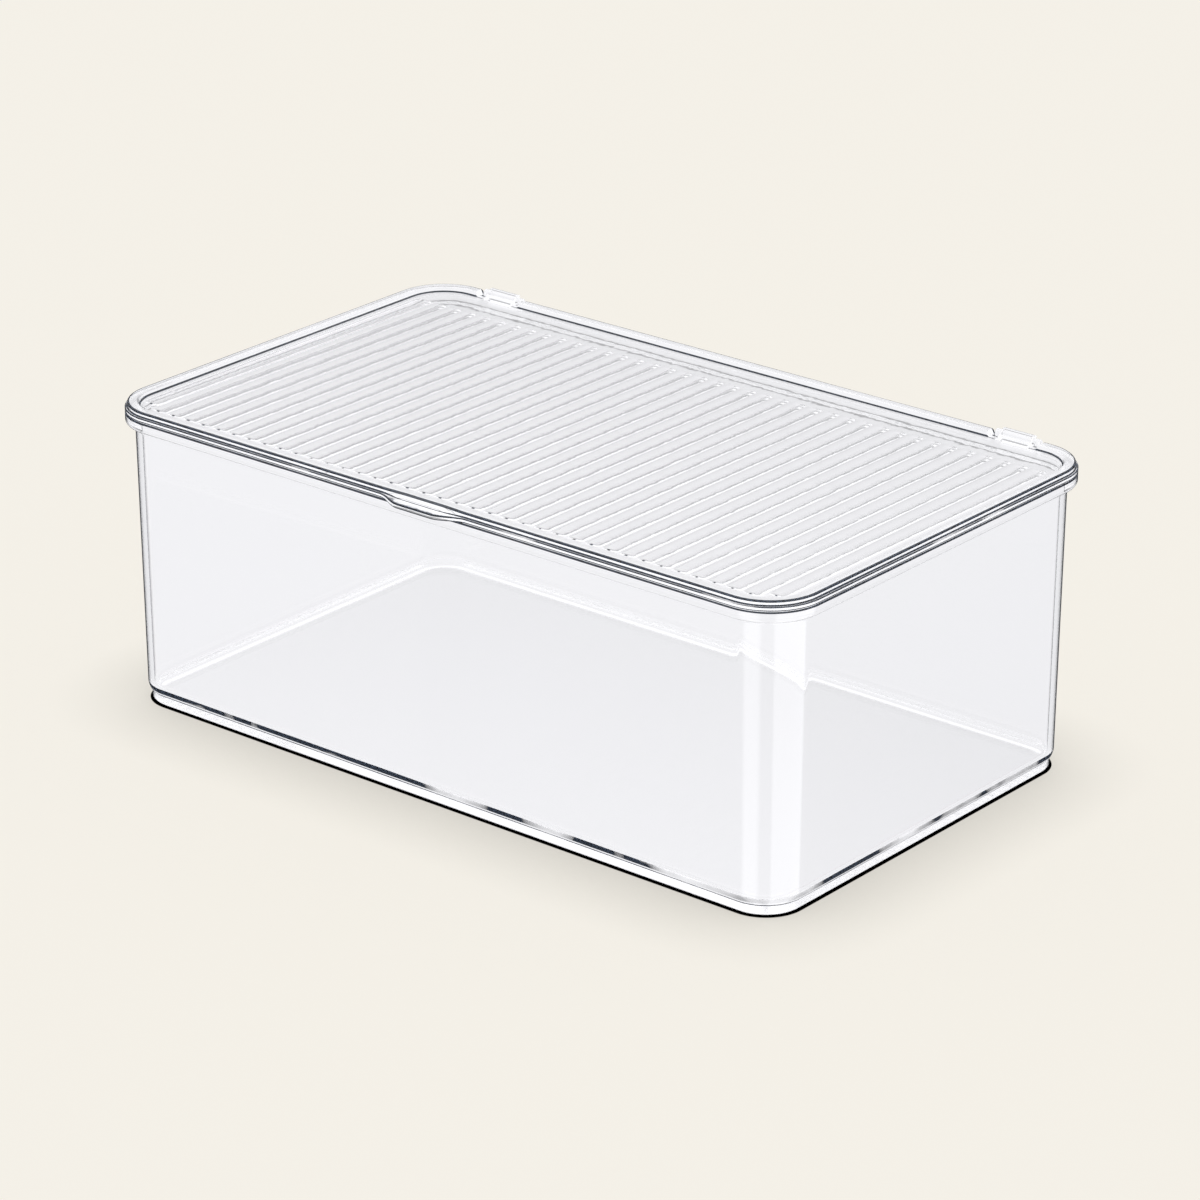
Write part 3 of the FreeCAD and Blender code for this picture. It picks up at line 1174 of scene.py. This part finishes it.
        # The front panel fades in downwards along the wave and the side panel upwards
        fades = ((self.front_panel_edge, -self.panel_fade), (self.side_panel_edge, self.panel_fade))
        front, side = (
            add_node(
                tree,
                "ShaderNodeMapRange",
                settings={"interpolation_type": "SMOOTHSTEP"},
                values={
                    "From Min": edge - fade,
                    "From Max": edge + fade,
                    "To Min": self.panel_dark,
                    "To Max": self.panel_bright,
                },
                links={"Value": wave.outputs[0]},
            )
            for edge, fade in fades
        )
        panels = add_node(
            tree,
            "ShaderNodeMath",
            settings={"operation": "MAXIMUM"},
            links={0: front.outputs["Result"], 1: side.outputs["Result"]},
        )
        facing = add_node(
            tree,
            "ShaderNodeMath",
            settings={"operation": "SUBTRACT"},
            links={0: split.outputs["X"], 1: split.outputs["Y"]},
        )
        lit_half = add_node(
            tree,
            "ShaderNodeMapRange",
            values={
                "From Min": -self.horizon_blur,
                "From Max": self.horizon_blur,
                "To Min": self.panel_dark,
            },
            links={"Value": facing.outputs[0], "To Max": panels.outputs[0]},
        )
        path = add_node(tree, "ShaderNodeLightPath")
        below = add_node(
            tree,
            "ShaderNodeMix",
            settings={"data_type": "FLOAT"},
            values={2: self.through_level},
            links={0: path.outputs["Is Reflection Ray"], 3: lit_half.outputs["Result"]},
        )
        guided = add_node(
            tree,
            "ShaderNodeMath",
            settings={"operation": "GREATER_THAN"},
            values={1: self.guided_depth},
            links={0: path.outputs["Ray Depth"]},
        )
        horizon = add_node(
            tree,
            "ShaderNodeMapRange",
            values={"From Min": -self.horizon_blur, "From Max": 0.0},
            links={"Value": split.outputs["Z"]},
        )
        direct = add_node(
            tree,
            "ShaderNodeMix",
            settings={"data_type": "FLOAT"},
            links={0: horizon.outputs["Result"], 2: below.outputs[0], 3: above.outputs["Result"]},
        )
        level = add_node(
            tree,
            "ShaderNodeMix",
            settings={"data_type": "FLOAT"},
            values={3: self.guided_level},
            links={0: guided.outputs[0], 2: direct.outputs[0]},
        )
        room = add_node(
            tree,
            "ShaderNodeBackground",
            values={"Color": linear(self.seen_through)},
            links={"Strength": level.outputs[0]},
        )
        backdrop = add_node(tree, "ShaderNodeBackground", values={"Color": linear(self.paper)})
        seen = add_node(
            tree,
            "ShaderNodeMixShader",
            links={0: path.outputs["Is Camera Ray"], 1: room.outputs[0], 2: backdrop.outputs[0]},
        )
        add_node(tree, "ShaderNodeOutputWorld", links={"Surface": seen.outputs[0]})

    def build_camera(self) -> None:
        """Place the camera on a sphere round the origin and slide it sideways and up."""
        turn = math.radians(self.azimuth)
        tilt = math.radians(self.elevation)
        level = math.cos(tilt)
        back = Vector((math.sin(turn) * level, -math.cos(turn) * level, math.sin(tilt)))
        right = Vector((math.cos(turn), math.sin(turn), 0.0))
        up = back.cross(right)
        data = bpy.data.cameras.new("camera")
        data.lens = self.lens
        camera = bpy.data.objects.new("camera", data)
        axes = Matrix((right, up, back)).transposed().to_4x4()
        place = back * self.distance + right * self.aside + up * self.above
        camera.matrix_world = Matrix.Translation(place * MM) @ axes
        bpy.context.scene.collection.objects.link(camera)
        bpy.context.scene.camera = camera

    def build(self) -> None:
        """Set up the floor, the light, the camera and how far light is followed through the plastic."""
        self.build_floor()
        self.build_contact()
        self.build_shade()
        self.build_light()
        self.build_camera()
        scene = bpy.context.scene
        scene.view_settings.view_transform = "Standard"
        scene.cycles.max_bounces = self.bounces
        scene.cycles.transmission_bounces = self.bounces
        scene.cycles.glossy_bounces = self.bounces
        scene.cycles.use_denoising = True


def main() -> None:
    """Build the box and its studio."""
    logging.basicConfig(level=logging.INFO, format="%(name)s %(message)s")
    # The tub's walls are nearly even, and the fluted lid is rippled
    tub_plastic = ClearPlastic("clear_acrylic_tub", "#FFFFFF", wave_mm=30.0, wave_depth_mm=0.01)
    lid_plastic = ClearPlastic("clear_acrylic_lid", "#FFFFFF", wave_mm=8.0, wave_depth_mm=0.07)
    tub = Tub("tub_moulding", "tub", "tub", "tub_clear", tub_plastic)
    lid = Lid("lid_moulding", "lid", "lid", "lid_clear", lid_plastic)
    tub.build()
    lid.build()
    Studio(tub).build()


if __name__ == "__main__":
    main()
